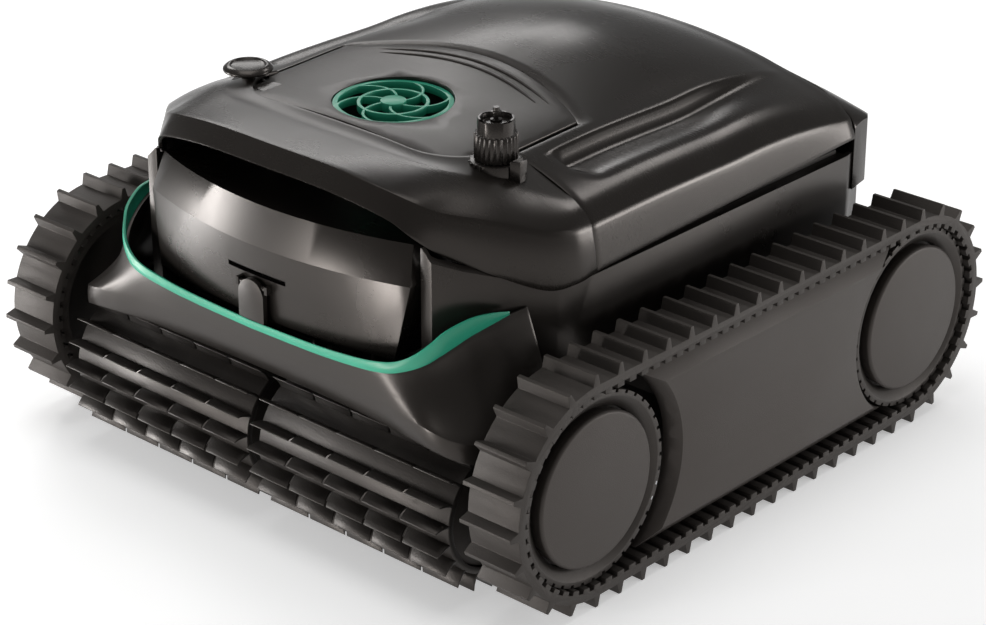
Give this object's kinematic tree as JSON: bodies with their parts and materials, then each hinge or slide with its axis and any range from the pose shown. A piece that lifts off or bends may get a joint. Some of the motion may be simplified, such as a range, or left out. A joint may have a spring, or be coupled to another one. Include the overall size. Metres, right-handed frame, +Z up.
{
  "type": "pool cleaner",
  "caption": "Cordless crawler robot for cleaning pool floors: toothed rubber tracks, twin finned brush rollers, top water outlet and a hinged lid over a filter basket.",
  "frame": {"origin": "on the floor, midway between front and rear axles and between the two tracks", "axes": "+X to the cleaner's right-hand side as seen from behind its brushes, +Y from the brush end to the tail, +Z up"},
  "size_m": [0.415, 0.44, 0.256],
  "materials": {
    "shell": "gloss",
    "shell_satin": "satin",
    "trim_green": "satin",
    "hull": "matte",
    "track_rubber": "matte",
    "wheel": "satin",
    "hub_cap": "satin",
    "brush_rubber": "matte",
    "steel": "satin",
    "motor_can": "satin",
    "cell_wrap": "satin",
    "board": "satin",
    "basket": "satin",
    "mesh": "matte",
    "seal": "matte",
    "fitting": "gloss"
  },
  "bodies": {
    "chassis": {"hull_tray": "hull", "deck": "shell_satin", "rear_trim": "shell", "front_cowl": "shell", "dish_panel": "shell_satin", "outlet_grille": "trim_green", "pump_duct": "hull", "pump_motor": "motor_can", "battery_cells": "cell_wrap", "control_case": "hull", "control_board": "board", "front_box": "shell", "green_trim": "trim_green", "nose_skirt": "shell_satin", "track_beam_left": "hull", "track_beam_right": "hull", "side_cover_left": "hub_cap", "side_cover_right": "hub_cap", "track_belt_left": "track_rubber", "track_belt_right": "track_rubber", "drive_motor_left": "motor_can", "drive_motor_right": "motor_can", "front_axle_left": "steel", "front_axle_right": "steel", "gear_cover_left": "hull", "gear_cover_right": "hull", "brush_hanger": "hull", "filter_basket": "basket", "filter_mesh": "mesh", "inlet_port": "hull", "button_base": "fitting", "charge_socket": "fitting", "lid_seal": "seal", "case_screws": "steel", "lid_hinge_pin": "steel"},
    "lid": {"top_cover": "shell"},
    "impeller": {"impeller": "trim_green", "pump_shaft": "steel"},
    "power_button": {"power_button": "fitting"},
    "charge_cap": {"charge_cap": "fitting"},
    "latch_tab": {"latch_tab": "shell_satin"},
    "inlet_flap": {"inlet_flap": "hull"},
    "front_wheel_left": {"front_wheel_left": "wheel", "front_hub_cap_left": "hub_cap", "wheel_gear_left": "wheel"},
    "rear_wheel_left": {"rear_wheel_left": "wheel", "rear_hub_cap_left": "hub_cap", "drive_shaft_left": "steel"},
    "brush_left": {"brush_core_left": "wheel", "brush_fins_left": "brush_rubber", "brush_gear_left": "wheel"},
    "front_wheel_right": {"front_wheel_right": "wheel", "front_hub_cap_right": "hub_cap", "wheel_gear_right": "wheel"},
    "rear_wheel_right": {"rear_wheel_right": "wheel", "rear_hub_cap_right": "hub_cap", "drive_shaft_right": "steel"},
    "brush_right": {"brush_core_right": "wheel", "brush_fins_right": "brush_rubber", "brush_gear_right": "wheel"}
  },
  "joints": [
    {"name": "lid_hinge", "type": "hinge", "parent": "chassis", "child": "lid", "pos_m": [0, 0.148, 0.209], "axis": [-1, 0, 0], "range_deg": [0, 70]},
    {"name": "impeller_spin", "type": "hinge", "parent": "chassis", "child": "impeller", "pos_m": [0, -0.091, 0.198], "axis": [0, 0, 1], "continuous": true},
    {"name": "power_button_press", "type": "slide", "parent": "chassis", "child": "power_button", "axis": [0, 0, -1], "range_m": [0, 0.0018], "stiffness_N_per_m": 900, "springref_m": -0.0004},
    {"name": "charge_cap_turn", "type": "hinge", "parent": "chassis", "child": "charge_cap", "pos_m": [0.099, -0.112, 0.23], "axis": [0, 0, 1], "range_deg": [0, 120]},
    {"name": "latch_tab_tilt", "type": "hinge", "parent": "chassis", "child": "latch_tab", "pos_m": [0, -0.2049, 0.15], "axis": [-1, 0, 0], "range_deg": [0, 14], "stiffness_Nm_per_rad": 0.05},
    {"name": "inlet_flap_hinge", "type": "hinge", "parent": "chassis", "child": "inlet_flap", "pos_m": [0, 0.054, 0.039], "axis": [-1, 0, 0], "range_deg": [0, 75]},
    {"name": "rear_wheel_left_spin", "type": "hinge", "parent": "chassis", "child": "rear_wheel_left", "pos_m": [0, 0.148, 0.072], "axis": [1, 0, 0], "continuous": true},
    {"name": "front_wheel_left_spin", "type": "hinge", "parent": "chassis", "child": "front_wheel_left", "pos_m": [0, -0.148, 0.072], "axis": [1, 0, 0], "continuous": true},
    {"name": "brush_left_spin", "type": "hinge", "parent": "chassis", "child": "brush_left", "pos_m": [0, -0.17148, 0.051], "axis": [1, 0, 0], "continuous": true},
    {"name": "rear_wheel_right_spin", "type": "hinge", "parent": "chassis", "child": "rear_wheel_right", "pos_m": [0, 0.148, 0.072], "axis": [1, 0, 0], "continuous": true},
    {"name": "front_wheel_right_spin", "type": "hinge", "parent": "chassis", "child": "front_wheel_right", "pos_m": [0, -0.148, 0.072], "axis": [1, 0, 0], "continuous": true},
    {"name": "brush_right_spin", "type": "hinge", "parent": "chassis", "child": "brush_right", "pos_m": [0, -0.17148, 0.051], "axis": [1, 0, 0], "continuous": true}
  ],
  "couplings": [
    {"joint": "front_wheel_left_spin", "follows": "rear_wheel_left_spin", "ratio": 1},
    {"joint": "brush_left_spin", "follows": "rear_wheel_left_spin", "ratio": -1.3333},
    {"joint": "front_wheel_right_spin", "follows": "rear_wheel_right_spin", "ratio": 1},
    {"joint": "brush_right_spin", "follows": "rear_wheel_right_spin", "ratio": -1.3333}
  ]
}
